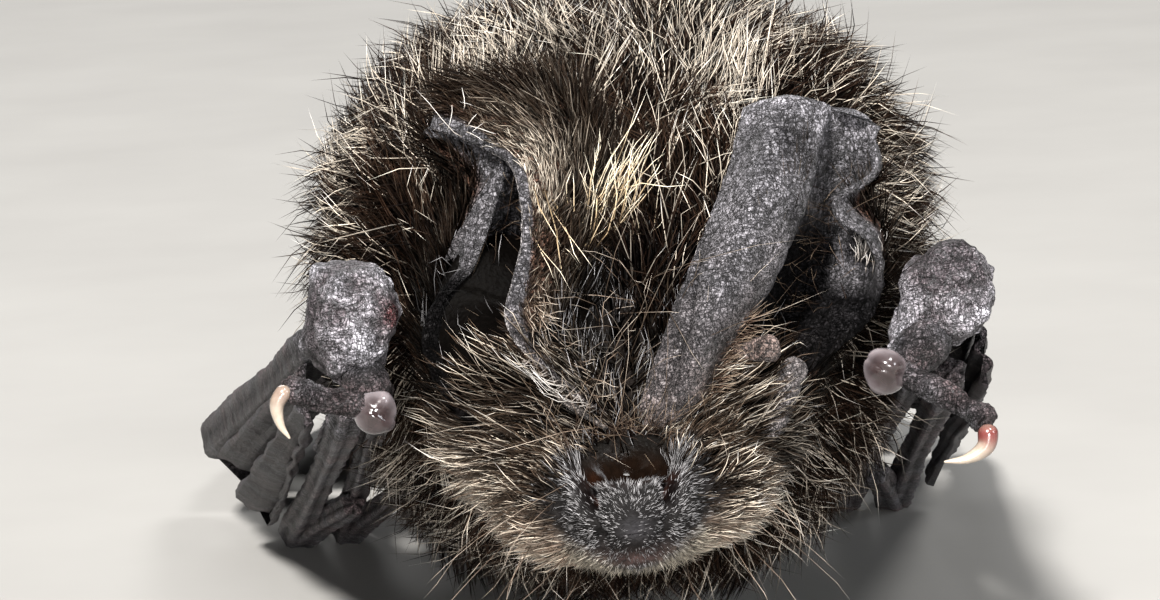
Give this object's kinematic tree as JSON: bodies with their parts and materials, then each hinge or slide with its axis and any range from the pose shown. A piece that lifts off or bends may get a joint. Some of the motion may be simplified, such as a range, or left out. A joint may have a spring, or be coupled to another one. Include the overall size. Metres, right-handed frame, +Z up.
{
  "type": "wild barbastelle bat",
  "caption": "Life-size still model of a small dark bat resting on its belly, wings folded, head raised, with large ears that meet on the brow.",
  "frame": {"origin": "on the floor, under the middle of the animal's outline", "axes": "+Z up; the bat faces -Y and its tail runs along +Y; its left side is +X"},
  "size_m": [0.029, 0.092, 0.0236],
  "materials": {
    "fur": "long fur, near-black at the base with brown and straw tips",
    "muzzle_skin": "dark skin under short grey velvet",
    "bare_skin": "thin dark charcoal skin with fine wrinkles",
    "nose": "moist bare skin, glossy dark amber brown",
    "pad": "smooth moist pinkish-grey skin",
    "claw": "ivory horn, slightly translucent",
    "eye": "polished near-black brown"
  },
  "bodies": {
    "root": {"head": "fur", "neck": "fur", "chest": "fur", "abdomen": "fur", "rump": "fur", "upper_arm_left": "fur", "upper_arm_right": "fur", "thigh_left": "fur", "thigh_right": "fur", "muzzle": "muzzle_skin", "lower_jaw": "muzzle_skin", "ear_left": "bare_skin", "ear_right": "bare_skin", "tragus_left": "bare_skin", "tragus_right": "bare_skin", "forearm_left": "bare_skin", "forearm_right": "bare_skin", "wrist_left": "bare_skin", "wrist_right": "bare_skin", "thumb_left": "bare_skin", "thumb_right": "bare_skin", "finger_3_left": "bare_skin", "finger_3_right": "bare_skin", "finger_4_left": "bare_skin", "finger_4_right": "bare_skin", "finger_5_left": "bare_skin", "finger_5_right": "bare_skin", "hand_membrane_left": "bare_skin", "hand_membrane_right": "bare_skin", "arm_membrane_left": "bare_skin", "arm_membrane_right": "bare_skin", "shin_left": "bare_skin", "shin_right": "bare_skin", "foot_left": "bare_skin", "foot_right": "bare_skin", "tail_membrane_left": "bare_skin", "tail_membrane_right": "bare_skin", "tail": "bare_skin", "nose": "nose", "wrist_pad_left": "pad", "wrist_pad_right": "pad", "thumb_claw_left": "claw", "thumb_claw_right": "claw", "eye_left": "eye", "eye_right": "eye"}
  },
  "joints": []
}
